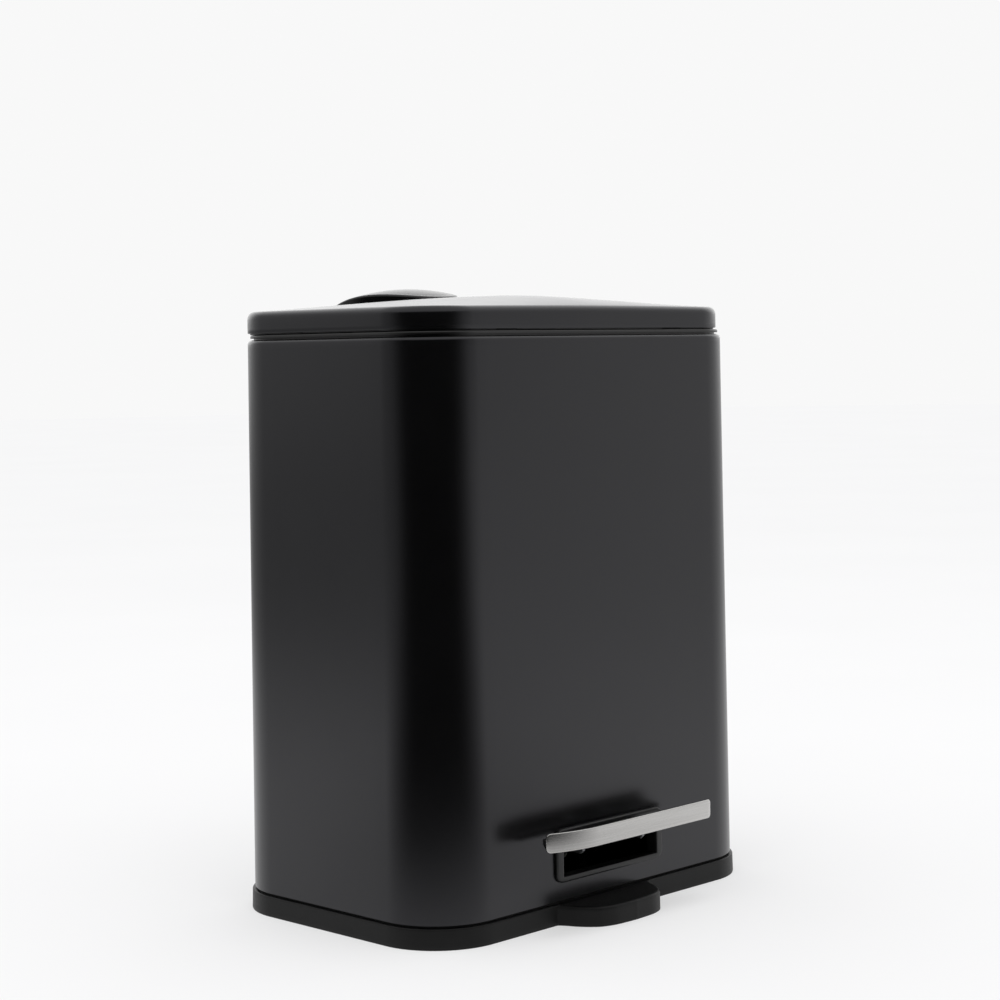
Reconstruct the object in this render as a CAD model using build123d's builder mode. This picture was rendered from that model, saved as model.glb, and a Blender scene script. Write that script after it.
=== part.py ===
"""Small rectangular pedal bin, millimetres.

Frame: origin at the centre of the base's underside, on the floor.
+Z up, -Y the front (pedal side), +X to the right seen from the front.
"""
from build123d import *
from math import atan, cos, degrees, pi, radians, sin
import os

os.makedirs("parts", exist_ok=True)

# ------------------------------------------------------------------ body
body_w, body_l, body_r = 216.0, 140.0, 31.5   # outline carried down to the floor
body_top = 260.0                              # top of the steel body
body_z0 = 10.0                                # lower edge of the steel body
side_taper = 2.5                              # each side leans in this much over body_top
sheet = 0.8                                   # steel sheet
roll_r = 2.0                                  # rolled top edge
mouth_in = 5.0                                # width of the folded-in top flange
rear_extra = 2.6                              # extra flange width at the rear, for the rod
# ------------------------------------------------------------------ base and foot
rim_over = 1.3                                # base rim stands out past the body
rim_h = 9.2
lip_h = 20.0
floor_t = 2.5
foot_x = -5.0                                 # the foot sits a little left of centre
foot_h = 9.0
# ------------------------------------------------------------------ pedal slot
slot_z = 30.35
bezel_w, bezel_h, bezel_r, bezel_t = 71.4, 23.9, 4.0, 1.7
slot_w, slot_h = 63.2, 18.7                   # clear opening in the bezel
sleeve_t = 1.5
# ------------------------------------------------------------------ pedal
band_y = -91.5                                # front face of the stainless band
band_z0, band_z1 = 37.7, 46.3
band_t = 1.2
left_x, left_r, left_bend = -30.0, 60.0, 27.0   # where each bend starts, its radius and angle
right_x, right_r, right_bend = 44.0, 6.0, 40.0
plate_z0, plate_z1 = 39.2, 41.8
plate_back = -76.0
# ------------------------------------------------------------------ lever and its axle
pivot_y, pivot_z = -22.0, 18.0
axle_r = 2.5
lever_half = 21.0
lever_t = 1.5
run_fit = 0.05                                # radial running clearance
# ------------------------------------------------------------------ lid hinge, cam and rod
hinge_y, hinge_z = 73.0, 261.5
lid_open = radians(75.0)
cam_r = 10.0                                  # rod travel per radian of lid
rod_y = hinge_y - cam_r
rod_r = 2.0
tip_ball = 3.5
tip_r = 3.2
gap = 0.35                                    # at the two open contacts of the linkage
rod_travel = cam_r * lid_open
arm = 85.0                                    # lever arm at the rod
swing = rod_travel / arm
nose_r = 3.0
nose_d = rod_travel / (2 * sin(swing / 2))
nose_y = pivot_y + nose_d * cos(swing / 2)
nose_z = pivot_z - nose_d * sin(swing / 2)
tip_top = hinge_z + 4.0                       # top of the rod at rest
foot_bottom = nose_z + nose_r + gap
pin_r = 2.0
knuckle_r = 4.2
# ------------------------------------------------------------------ lid
lid_w, lid_l, lid_r, lid_y = 208.9, 133.1, 27.8, 1.4
lid_z = 263.0
dome_z, dome_h = 272.6, 6.5                   # height of the dome's edge, and its rise
dome_px, dome_py = 1.45, 2.8                  # fullness across and along
lid_round = 3.6
liner_z0, liner_z1 = 266.5, 268.5
liner_rim_z = 262.4
buffer_z0, buffer_z1 = 262.3, 264.0           # buffers sit in notches of the rim
# ------------------------------------------------------------------ hinge cover
cover_r, cover_y = 33.0, 68.0                 # half disc that bulges to the front
cover_t, cover_wall, cover_round = 1.8, 2.5, 1.3
# ------------------------------------------------------------------ collar and bucket
collar_top = 262.2
lip_top = 265.8
ledge_z0, ledge_z1 = 249.0, 250.6
bucket_z0, bucket_rim = 44.0, 252.4
bucket_t = 1.6
bucket_draft = 1.0

taper_deg = degrees(atan(side_taper / body_top))


def inset(z):
    return side_taper * z / body_top


def outline(z, d):
    """Width, depth and corner radius of the body outline at height z, d inside it."""
    k = inset(z) + d
    return body_w - 2 * k, body_l - 2 * k, body_r - k


def mouth(d):
    """Outline of the mouth, d inside the body's top edge and wider at the rear."""
    w, l, r = outline(body_top, d)
    return w, l - rear_extra, r


def lid_outline(d):
    return lid_w - 2 * d, lid_l - 2 * d, max(lid_r - d, 3.0)


mouth_shift = -rear_extra / 2
wall_y = lambda z: body_l / 2 - inset(z)      # outer face of the rear wall
lean = radians(taper_deg)
front = Plane(origin=(0, -wall_y(slot_z), slot_z), x_dir=(1, 0, 0), z_dir=(0, -cos(lean), sin(lean)))

# ================================================================== body shell
with BuildPart() as body_core:
    with BuildSketch(Plane.XY.offset(body_z0)):
        RectangleRounded(*outline(body_z0, sheet))
    extrude(amount=body_top - sheet - body_z0, taper=taper_deg)
    fillet(body_core.faces().sort_by(Axis.Z)[-1].edges(), roll_r - sheet)

with BuildPart() as body_shell:
    with BuildSketch(Plane.XY.offset(body_z0)):
        RectangleRounded(*outline(body_z0, 0))
    extrude(amount=body_top - body_z0, taper=taper_deg)
    fillet(body_shell.faces().sort_by(Axis.Z)[-1].edges(), roll_r)
    add(body_core.part, mode=Mode.SUBTRACT)
    with BuildSketch(Plane.XY.offset(body_top - 3)):
        with Locations((0, mouth_shift)):
            RectangleRounded(*mouth(mouth_in))
    extrude(amount=6, mode=Mode.SUBTRACT)
    # opening for the pedal, behind the bezel
    with BuildSketch(front):
        Rectangle(slot_w + 2 * sleeve_t + 0.2, slot_h + 2 * sleeve_t + 0.2)
    extrude(amount=5, both=True, mode=Mode.SUBTRACT)
    # notch in the top flange for the rod's upper guide
    with Locations((0, rod_y - 1.2, body_top - 1)):
        Box(11.2, 9.6, 6, mode=Mode.SUBTRACT)
    # holes for the hinge screws and the guide's rivets
    with Locations(*[Location((x, 68, 236), (90, 0, 0)) for x in (-17, 17)]):
        Cylinder(2.1, 12, mode=Mode.SUBTRACT)
    with Locations(*[Location((x, 68, 118), (90, 0, 0)) for x in (-12.5, 12.5)]):
        Cylinder(1.65, 12, mode=Mode.SUBTRACT)
body_shell.part.label = "body_shell"
export_step(body_shell.part, "parts/body_shell.step")

# ================================================================== base with foot
foot_half = [(31.8, -71.3), (30.6, -72.0), (29.2, -74.0), (26.8, -79.2), (23.6, -83.7), (19.2, -87.6), (11.0, -90.0)]
foot_pts = [(foot_x - x, y) for x, y in foot_half] + [(foot_x, -90.7)]
pad_at = [(84, 46), (-84, 46), (84, -46), (-84, -46)]
post_x = 26.95
with BuildPart() as base:
    with BuildSketch():
        RectangleRounded(body_w + 2 * rim_over, body_l + 2 * rim_over, body_r + rim_over)
    extrude(amount=rim_h, taper=1.5)
    fillet(base.faces().sort_by(Axis.Z)[-1].edges(), 0.6)
    with BuildSketch():
        with BuildLine():
            Spline(*foot_pts, tangents=[(1, 0), (1, 0)])
            Polyline(foot_pts[-1], (foot_x, -62), (foot_pts[0][0], -62), foot_pts[0])
        make_face()
        mirror(about=Plane(origin=(foot_x, 0, 0), z_dir=(1, 0, 0)))
    extrude(amount=foot_h)
    # upstand inside the body
    with BuildSketch(Plane.XY.offset(rim_h - 0.5)):
        RectangleRounded(*outline(body_z0, sheet + 0.3))
    extrude(amount=lip_h - rim_h + 0.5)
    with BuildSketch(Plane.XY.offset(floor_t)):
        RectangleRounded(*outline(body_z0, sheet + 2.3))
    extrude(amount=lip_h, mode=Mode.SUBTRACT)
    with Locations((0, 67.2, rim_h + 6)):
        Box(30, 5.6, 12, mode=Mode.SUBTRACT)
    # the upstand is lower under the pedal slot
    with Locations((0, -67, 17.5)):
        Box(74, 8, 6, align=(Align.CENTER, Align.CENTER, Align.MIN), mode=Mode.SUBTRACT)
    # posts that carry the lever's axle
    with Locations((post_x, pivot_y, 13.5), (-post_x, pivot_y, 13.5)):
        Box(4.9, 16, 23)
    with Locations(*[Location((x, pivot_y, floor_t), (0, 0, 0)) for x in (-post_x - 5, post_x + 5)]):
        Box(6, 3, 9, align=(Align.CENTER, Align.CENTER, Align.MIN))
    with Locations(Location((0, pivot_y, pivot_z), (0, 90, 0))):
        Cylinder(axle_r + 0.01, 80, mode=Mode.SUBTRACT)
    fillet(base.edges().filter_by(Axis.X).group_by(Axis.Z)[-1], 6)
    # pockets for the anti-slip pads
    with Locations(*[(x, y, 0) for x, y in pad_at]):
        Cylinder(8.0, 1.5, align=(Align.CENTER, Align.CENTER, Align.MIN), mode=Mode.SUBTRACT)
base.part.label = "base"
export_step(base.part, "parts/base.step")

with BuildPart() as antislip_pads:
    with Locations(*[(x, y, 0) for x, y in pad_at]):
        Cylinder(7.95, 1.48, align=(Align.CENTER, Align.CENTER, Align.MIN))
antislip_pads.part.label = "antislip_pads"
export_step(antislip_pads.part, "parts/antislip_pads.step")

lever_stop_at = [(-20.2, 52), (20.2, 52)]
with BuildPart() as lever_stop:
    with BuildSketch(Plane.XY.offset(floor_t)):
        with Locations(*lever_stop_at):
            RectangleRounded(7, 10, 2)
    extrude(amount=4.5)
lever_stop.part.label = "lever_stop"
export_step(lever_stop.part, "parts/lever_stop.step")

# ================================================================== bezel of the pedal slot
with BuildPart() as pedal_bezel:
    with BuildSketch(front):
        RectangleRounded(bezel_w, bezel_h, bezel_r)
    extrude(amount=bezel_t)
    fillet(pedal_bezel.faces().sort_by(Axis.Y)[0].edges(), 0.7)
    with BuildSketch(front):
        Rectangle(slot_w + 2 * sleeve_t, slot_h + 2 * sleeve_t)
    extrude(amount=-4.5)
    with BuildSketch(front):
        Rectangle(slot_w, slot_h)
    extrude(amount=8, both=True, mode=Mode.SUBTRACT)
pedal_bezel.part.label = "pedal_bezel"
export_step(pedal_bezel.part, "parts/pedal_bezel.step")

# ================================================================== pedal: lever, tread, band
with BuildPart() as pedal_lever:
    with BuildSketch(Plane.YZ):
        with BuildLine():
            Polyline((-88.5, 39.2), (-60, 39.2), (-43, 27.5), (-22, 26.8), (52, 14.2), (60.5, 12.9),
                     (60.5, 7.4), (40, 8.2), (-12, 10.2), (-22, 9.5), (-34, 12.5), (-57, 30.2), (-71.5, 29.6), (-73, 31), (-74.5, 37.7),
                     (-88.5, 37.7), close=True)
        make_face()
    extrude(amount=lever_half, both=True)
    with BuildSketch(Plane.YZ):
        with BuildLine():
            Polyline((-92, 37.7), (-60.5, 37.7), (-43.5, 26.0), (-22.2, 25.3), (51.8, 12.7), (63, 11.0),
                     (63, 0), (-92, 0), close=True)
        make_face()
    extrude(amount=lever_half - lever_t, both=True, mode=Mode.SUBTRACT)
    # rolled nose that lifts the rod
    with Locations(Location((0, nose_y, nose_z), (0, 90, 0))):
        Cylinder(nose_r, 12)
    with Locations(Location((0, pivot_y, pivot_z), (0, 90, 0))):
        Cylinder(4.52, 80, mode=Mode.SUBTRACT)
    with Locations((-12, -83, 38), (12, -83, 38)):
        Cylinder(1.65, 8, mode=Mode.SUBTRACT)
pedal_lever.part.label = "pedal_lever"
export_step(pedal_lever.part, "parts/pedal_lever.step")

with BuildPart() as lever_bushes:
    with Locations(Location((19.5, pivot_y, pivot_z), (0, 90, 0)), Location((-19.5, pivot_y, pivot_z), (0, -90, 0))):
        Cylinder(4.5, 1.55, align=(Align.CENTER, Align.CENTER, Align.MIN))
    with Locations(Location((21.02, pivot_y, pivot_z), (0, 90, 0)), Location((-21.02, pivot_y, pivot_z), (0, -90, 0))):
        Cylinder(6.0, 2.6, align=(Align.CENTER, Align.CENTER, Align.MIN))
    with Locations(Location((0, pivot_y, pivot_z), (0, 90, 0))):
        Cylinder(axle_r + run_fit, 80, mode=Mode.SUBTRACT)
lever_bushes.part.label = "lever_bushes"
export_step(lever_bushes.part, "parts/lever_bushes.step")

# the band and the tread core share one front line: a straight run, a long bend on the left and a short one on the right
def bend_point(side, d, k):
    """Point a share k along the left (-1) or right (1) bend, d inside the band's front face."""
    x, r, a = (left_x, left_r, left_bend) if side < 0 else (right_x, right_r, right_bend)
    a = radians(a) * k
    return x + side * (r - d) * sin(a), band_y + r - (r - d) * cos(a)


with BuildPart() as pedal_band:
    with BuildSketch(Plane.XY.offset(band_z0)):
        with BuildLine():
            Line(bend_point(-1, 0, 0), bend_point(1, 0, 0))
            ThreePointArc(bend_point(1, 0, 0), bend_point(1, 0, 0.5), bend_point(1, 0, 1))
            Line(bend_point(1, 0, 1), bend_point(1, band_t, 1))
            ThreePointArc(bend_point(1, band_t, 1), bend_point(1, band_t, 0.5), bend_point(1, band_t, 0))
            Line(bend_point(1, band_t, 0), bend_point(-1, band_t, 0))
            ThreePointArc(bend_point(-1, band_t, 0), bend_point(-1, band_t, 0.5), bend_point(-1, band_t, 1))
            Line(bend_point(-1, band_t, 1), bend_point(-1, 0, 1))
            ThreePointArc(bend_point(-1, 0, 1), bend_point(-1, 0, 0.5), bend_point(-1, 0, 0))
        make_face()
    extrude(amount=band_z1 - band_z0)
pedal_band.part.label = "pedal_band"
export_step(pedal_band.part, "parts/pedal_band.step")

core_d = band_t + 0.05
with BuildPart() as pedal_plate:
    with BuildSketch(Plane.XY.offset(plate_z0)):
        with BuildLine():
            Line(bend_point(-1, core_d, 0), bend_point(1, core_d, 0))
            ThreePointArc(bend_point(1, core_d, 0), bend_point(1, core_d, 0.5), bend_point(1, core_d, 1))
            Polyline(bend_point(1, core_d, 1), (43, plate_back), (-50, plate_back), bend_point(-1, core_d, 1))
            ThreePointArc(bend_point(-1, core_d, 1), bend_point(-1, core_d, 0.5), bend_point(-1, core_d, 0))
        make_face()
    extrude(amount=plate_z1 - plate_z0)
    with Locations((-12, -83, 41), (12, -83, 41)):
        Cylinder(1.65, 14, mode=Mode.SUBTRACT)
pedal_plate.part.label = "pedal_plate"
export_step(pedal_plate.part, "parts/pedal_plate.step")

with BuildPart() as pedal_rivets:
    with Locations((-12, -83, 36.6), (12, -83, 36.6)):
        Cylinder(1.6, plate_z1 + 0.02 - 36.6, align=(Align.CENTER, Align.CENTER, Align.MIN))
        Cylinder(2.8, 1.08, align=(Align.CENTER, Align.CENTER, Align.MIN))
    with Locations((-12, -83, plate_z1 + 0.02), (12, -83, plate_z1 + 0.02)):
        Cylinder(3.0, 1.2, align=(Align.CENTER, Align.CENTER, Align.MIN))
    fillet(pedal_rivets.edges().group_by(Axis.Z)[-1], 0.8)
pedal_rivets.part.label = "pedal_rivets"
export_step(pedal_rivets.part, "parts/pedal_rivets.step")

with BuildPart() as lever_axle:
    with Locations(Location((0, pivot_y, pivot_z), (0, 90, 0))):
        Cylinder(axle_r, 64)
    chamfer(lever_axle.edges(), 0.5)
lever_axle.part.label = "lever_axle"
export_step(lever_axle.part, "parts/lever_axle.step")

with BuildPart() as axle_clips:
    with Locations(Location((29.45, pivot_y, pivot_z), (0, 90, 0)), Location((-29.45, pivot_y, pivot_z), (0, -90, 0))):
        Cylinder(4.8, 0.8, align=(Align.CENTER, Align.CENTER, Align.MIN))
    with Locations(Location((0, pivot_y, pivot_z), (0, 90, 0))):
        Cylinder(axle_r + 0.01, 80, mode=Mode.SUBTRACT)
axle_clips.part.label = "axle_clips"
export_step(axle_clips.part, "parts/axle_clips.step")

# ================================================================== push rod
with BuildPart() as push_rod:
    with Locations((0, rod_y, foot_bottom + 1.5)):
        Cylinder(rod_r, tip_top - 1.6 - foot_bottom - 1.5, align=(Align.CENTER, Align.CENTER, Align.MIN))
push_rod.part.label = "push_rod"
export_step(push_rod.part, "parts/push_rod.step")

with BuildPart() as rod_foot:
    with Locations((0, rod_y, foot_bottom)):
        Cylinder(4.0, 5.0, align=(Align.CENTER, Align.CENTER, Align.MIN))
    with Locations((0, rod_y, foot_bottom + 1.49)):
        Cylinder(rod_r + 0.01, 6, align=(Align.CENTER, Align.CENTER, Align.MIN), mode=Mode.SUBTRACT)
rod_foot.part.label = "rod_foot"
export_step(rod_foot.part, "parts/rod_foot.step")

with BuildPart() as rod_tip:
    with Locations((0, rod_y, tip_top - tip_ball)):
        Sphere(tip_ball)
        Cylinder(tip_r, 2 * tip_ball + 1, mode=Mode.INTERSECT)
    with Locations((0, rod_y, tip_top - 2.7)):
        Box(20, 20, 20, align=(Align.CENTER, Align.CENTER, Align.MAX), mode=Mode.SUBTRACT)
    with Locations((0, rod_y, tip_top - 1.59)):
        Cylinder(rod_r + 0.01, 6, align=(Align.CENTER, Align.CENTER, Align.MAX), mode=Mode.SUBTRACT)
rod_tip.part.label = "rod_tip"
export_step(rod_tip.part, "parts/rod_tip.step")

guide_z = 118.0
with BuildPart() as rod_guide:
    with Locations((0, wall_y(guide_z + 6) - sheet - 0.03, guide_z)):
        Box(34, 2.2, 12, align=(Align.CENTER, Align.MAX, Align.CENTER))
        Box(10, 9.6, 12, align=(Align.CENTER, Align.MAX, Align.CENTER))
    with Locations((0, rod_y, guide_z)):
        Cylinder(rod_r + run_fit, 20, mode=Mode.SUBTRACT)
    with Locations(*[Location((x, 66, guide_z), (90, 0, 0)) for x in (-12.5, 12.5)]):
        Cylinder(1.65, 12, mode=Mode.SUBTRACT)
rod_guide.part.label = "rod_guide"
export_step(rod_guide.part, "parts/rod_guide.step")

rivet_out = wall_y(guide_z - 4) + 0.02
rivet_in = wall_y(guide_z + 6) - sheet - 0.03 - 2.2
with BuildPart() as rod_guide_rivets:
    with Locations(*[Location((x, rivet_in - 0.9, guide_z), (-90, 0, 0)) for x in (-12.5, 12.5)]):
        Cylinder(1.6, rivet_out + 0.9 - rivet_in, align=(Align.CENTER, Align.CENTER, Align.MIN))
        Cylinder(2.7, 0.88, align=(Align.CENTER, Align.CENTER, Align.MIN))
    with Locations(*[Location((x, rivet_out, guide_z), (-90, 0, 0)) for x in (-12.5, 12.5)]):
        Cylinder(3.0, 1.1, align=(Align.CENTER, Align.CENTER, Align.MIN))
    fillet(rod_guide_rivets.edges().group_by(Axis.Y)[-1], 0.8)
rod_guide_rivets.part.label = "rod_guide_rivets"
export_step(rod_guide_rivets.part, "parts/rod_guide_rivets.step")

# ================================================================== collar in the mouth
with BuildPart() as rim_collar:
    with BuildSketch(Plane.XY.offset(body_top)):
        RectangleRounded(*outline(body_top, 1.2))
        with Locations((0, mouth_shift)):
            RectangleRounded(*mouth(6.8), mode=Mode.SUBTRACT)
    extrude(amount=collar_top - body_top)
    # shadow groove between the collar and the body's rolled edge
    with BuildSketch(Plane.XY.offset(body_top - 0.1)):
        RectangleRounded(*outline(body_top, 0.0))
        RectangleRounded(*outline(body_top, 2.7), mode=Mode.SUBTRACT)
    extrude(amount=0.9, mode=Mode.SUBTRACT)
    with BuildSketch(Plane.XY.offset(ledge_z0)):
        with Locations((0, mouth_shift)):
            RectangleRounded(*mouth(5.3))
            RectangleRounded(*mouth(6.8), mode=Mode.SUBTRACT)
    extrude(amount=collar_top - ledge_z0)
    with BuildSketch(Plane.XY.offset(ledge_z0)):
        with Locations((0, mouth_shift)):
            RectangleRounded(*mouth(6.0))
            RectangleRounded(*mouth(9.2), mode=Mode.SUBTRACT)
    extrude(amount=ledge_z1 - ledge_z0)
    # lip that reaches up inside the lid's rim, open at the hinge
    with BuildSketch(Plane.XY.offset(collar_top - 0.5)):
        with Locations((0, mouth_shift)):
            RectangleRounded(*mouth(5.8))
            RectangleRounded(*mouth(6.8), mode=Mode.SUBTRACT)
        with Locations((0, 58)):
            Rectangle(54, 8, mode=Mode.SUBTRACT)
    extrude(amount=lip_top - collar_top + 0.5)
    with Locations((0, rod_y, 254)):
        Cylinder(3.4, collar_top - 254, align=(Align.CENTER, Align.CENTER, Align.MIN))
    with Locations((0, rod_y, 258)):
        Cylinder(rod_r + run_fit, 20, mode=Mode.SUBTRACT)
rim_collar.part.label = "rim_collar"
export_step(rim_collar.part, "parts/rim_collar.step")

# ================================================================== inner bucket and its bail
draft_in = (ledge_z1 - bucket_z0) * sin(radians(bucket_draft)) / cos(radians(bucket_draft))
top_w, top_l, top_r = mouth(9.5)
ear_x, ear_z = 95.8, 255.2
with BuildPart() as bucket_core:
    k = draft_in + bucket_t
    with BuildSketch(Plane.XY.offset(bucket_z0 + bucket_t)):
        with Locations((0, mouth_shift)):
            RectangleRounded(top_w - 2 * k, top_l - 2 * k, top_r - k)
    extrude(amount=bucket_rim + 0.1 - bucket_z0 - bucket_t, taper=-bucket_draft)
    fillet(bucket_core.faces().sort_by(Axis.Z)[0].edges(), 5.0)
with BuildPart() as inner_bucket:
    with BuildSketch(Plane.XY.offset(bucket_z0)):
        with Locations((0, mouth_shift)):
            RectangleRounded(top_w - 2 * draft_in, top_l - 2 * draft_in, top_r - draft_in)
    extrude(amount=bucket_rim - bucket_z0, taper=-bucket_draft)
    fillet(inner_bucket.faces().sort_by(Axis.Z)[0].edges(), 6.5)
    with BuildSketch(Plane.XY.offset(ledge_z1)):
        with Locations((0, mouth_shift)):
            RectangleRounded(*mouth(7.2))
    extrude(amount=bucket_rim - ledge_z1)
    # ears for the bail
    with Locations((ear_x, mouth_shift, ledge_z1), (-ear_x, mouth_shift, ledge_z1)):
        Box(2.6, 10, 7.4, align=(Align.CENTER, Align.CENTER, Align.MIN))
    add(bucket_core.part, mode=Mode.SUBTRACT)
    with Locations(Location((0, mouth_shift, ear_z), (0, 90, 0))):
        Cylinder(1.6, 240, mode=Mode.SUBTRACT)
inner_bucket.part.label = "inner_bucket"
export_step(inner_bucket.part, "parts/inner_bucket.step")

with BuildPart() as bucket_handle:
    with BuildLine(Plane.XY.offset(ear_z)) as bail:
        FilletPolyline((97.6, mouth_shift), (92.4, mouth_shift), (92.4, -57.8), (-92.4, -57.8), (-92.4, mouth_shift), (-97.6, mouth_shift),
                       radius=[1.9, 18, 18, 1.9])
    with BuildSketch(Plane(origin=(97.6, mouth_shift, ear_z), z_dir=(-1, 0, 0))):
        Circle(1.5)
    sweep(path=bail.wires()[0])
bucket_handle.part.label = "bucket_handle"
export_step(bucket_handle.part, "parts/bucket_handle.step")

# ================================================================== lid
def dome(x, y):
    """Height of the lid's top; y from the lid's own centre."""
    u, v = abs(x) / (lid_w / 2), abs(y) / (lid_l / 2)
    return dome_z + dome_h * (1 - u ** dome_px) * (1 - v ** dome_py)


def lid_block(d, z0):
    """The lid's solid, d inside its outer faces, from z0 up."""
    nx, ny = 24, 16
    grid = [[Vector(106.0 * (2 * i / nx - 1), lid_y + 68.0 * (2 * j / ny - 1),
                    dome(106.0 * (2 * i / nx - 1), 68.0 * (2 * j / ny - 1)) - d) for j in range(ny + 1)] for i in range(nx + 1)]
    top = Face.make_surface_from_array_of_points(grid)
    under = Solid.extrude(top, Vector(0, 0, -40))
    with BuildPart() as block:
        with BuildSketch(Plane.XY.offset(z0)):
            with Locations((0, lid_y)):
                RectangleRounded(*lid_outline(d))
        extrude(amount=30)
        add(under, mode=Mode.INTERSECT)
        fillet(block.faces().sort_by(Axis.Z)[-1].edges(), lid_round - d)
    return block.part


lid_solid = lid_block(0.0, lid_z)
lid_core = lid_block(sheet, lid_z - 1.0)

lid_screw_at = [(-20.0, 58.0), (20.0, 58.0)]
with BuildPart() as lid_shell:
    add(lid_solid)
    add(lid_core, mode=Mode.SUBTRACT)
    # notch in the rear wall for the hinge arms
    with Locations((0, lid_y + lid_l / 2, lid_z - 1)):
        Box(29, 6, 7.5, align=(Align.CENTER, Align.CENTER, Align.MIN), mode=Mode.SUBTRACT)
    with Locations(*[(x, y, 272) for x, y in lid_screw_at]):
        Cylinder(1.7, 12, mode=Mode.SUBTRACT)
lid_shell.part.label = "lid_shell"
export_step(lid_shell.part, "parts/lid_shell.step")

# cam on the lid: the rod's ball centre moves straight up, and the lug follows it
cam_pts = []
for i in range(-4, 80, 3):
    t = radians(i)
    u = tip_top - hinge_z + gap + cam_r * t
    cam_pts.append((hinge_y - cam_r * cos(t) - u * sin(t), hinge_z - cam_r * sin(t) + u * cos(t)))
rim_mid = 2.1
buffer_at_front = [(x, lid_y - lid_l / 2 + rim_mid, buffer_z1) for x in (55, -55)]
buffer_at_side = [(s * (lid_w / 2 - rim_mid), 20, buffer_z1) for s in (1, -1)]
with BuildPart() as lid_liner:
    with BuildSketch(Plane.XY.offset(liner_z0)):
        with Locations((0, lid_y)):
            RectangleRounded(*lid_outline(1.1))
    extrude(amount=liner_z1 - liner_z0)
    with BuildSketch(Plane.XY.offset(liner_rim_z)):
        with Locations((0, lid_y)):
            RectangleRounded(*lid_outline(1.1))
            RectangleRounded(*lid_outline(3.1), mode=Mode.SUBTRACT)
    extrude(amount=liner_z0 - liner_rim_z)
    with Locations((0, 66, liner_z0)):
        Box(10, 8, 6, align=(Align.CENTER, Align.CENTER, Align.MAX), mode=Mode.SUBTRACT)
    with Locations(*buffer_at_front):
        Box(12.2, 2.6, 4, align=(Align.CENTER, Align.CENTER, Align.MAX), mode=Mode.SUBTRACT)
    with Locations(*buffer_at_side):
        Box(2.6, 12.2, 4, align=(Align.CENTER, Align.CENTER, Align.MAX), mode=Mode.SUBTRACT)
    # two hinge arms with their knuckles
    for x in (9.3, -9.3):
        with BuildSketch(Plane.YZ.offset(x)):
            with BuildLine():
                Polyline((60, 266.6), (60, 268.5), (72, 268.5), (76, 264.4), (hinge_y, hinge_z), (69.4, 262.9), (67.6, 264.0), (65, 264.3), close=True)
            make_face()
            with Locations((hinge_y, hinge_z)):
                Circle(knuckle_r)
        extrude(amount=4.3, both=True)
    # cam lug
    with BuildSketch(Plane.YZ):
        with BuildLine():
            Polyline(*cam_pts, (51.5, 255.1), (50.0, 258.0), (50.0, 267.0), (64.4, 267.0), close=True)
        make_face()
    extrude(amount=3.0, both=True)
    with Locations(Location((0, hinge_y, hinge_z), (0, 90, 0))):
        Cylinder(pin_r + run_fit, 60, mode=Mode.SUBTRACT)
    with Locations(*[(x, y, 267) for x, y in lid_screw_at]):
        Cylinder(1.6, 12, mode=Mode.SUBTRACT)
lid_liner.part.label = "lid_liner"
export_step(lid_liner.part, "parts/lid_liner.step")

with BuildPart() as lid_buffers:
    with Locations(*buffer_at_front):
        Box(12, 1.9, buffer_z1 - buffer_z0, align=(Align.CENTER, Align.CENTER, Align.MAX))
    with Locations(*buffer_at_side):
        Box(1.9, 12, buffer_z1 - buffer_z0, align=(Align.CENTER, Align.CENTER, Align.MAX))
lid_buffers.part.label = "lid_buffers"
export_step(lid_buffers.part, "parts/lid_buffers.step")


# ================================================================== hinge cover on the lid
def cap(x, y):
    """Height of the cover's top."""
    return 284.0 - 0.0037 * x ** 2 - 0.012 * (y - 54) ** 2


def cover_block(d, wall, z0):
    """Solid under the domed cover, d below its top and wall inside its sides."""
    nx, ny = 12, 12
    at = lambda i, j: (38.0 * (2 * i / nx - 1), 28 + 60.0 * j / ny)
    top = Face.make_surface_from_array_of_points([[Vector(*at(i, j), cap(*at(i, j)) - d) for j in range(ny + 1)] for i in range(nx + 1)])
    under = Solid.extrude(top, Vector(0, 0, -60))
    r, rear = cover_r - wall, 81.0 - wall
    with BuildPart() as block:
        with BuildSketch(Plane.XY.offset(z0)) as plan:
            with BuildLine():
                ThreePointArc((-r, cover_y), (0, cover_y - r), (r, cover_y))
                Polyline((r, cover_y), (r, 73), (26 - wall, rear), (wall - 26, rear), (-r, 73), (-r, cover_y))
            make_face()
            fillet(plan.vertices().filter_by(lambda v: v.Y > cover_y + 1), 5.0 - wall)
        extrude(amount=40)
        add(under, mode=Mode.INTERSECT)
        if d == 0:
            fillet(block.faces().sort_by(Axis.Z)[-1].edges(), cover_round)
    return block.part


with BuildPart() as hinge_cover:
    add(cover_block(0.0, 0.0, 264.0))
    add(cover_block(cover_t, cover_wall, 262.0), mode=Mode.SUBTRACT)
    with Locations(*[(x, y, 268) for x, y in lid_screw_at]):
        Cylinder(3.6, 12.2, align=(Align.CENTER, Align.CENTER, Align.MIN))
    with Locations(*[(x, y, 262) for x, y in lid_screw_at]):
        Cylinder(1.52, 17.0, align=(Align.CENTER, Align.CENTER, Align.MIN), mode=Mode.SUBTRACT)
    add(lid_solid, mode=Mode.SUBTRACT)
hinge_cover.part.label = "hinge_cover"
export_step(hinge_cover.part, "parts/hinge_cover.step")

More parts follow.
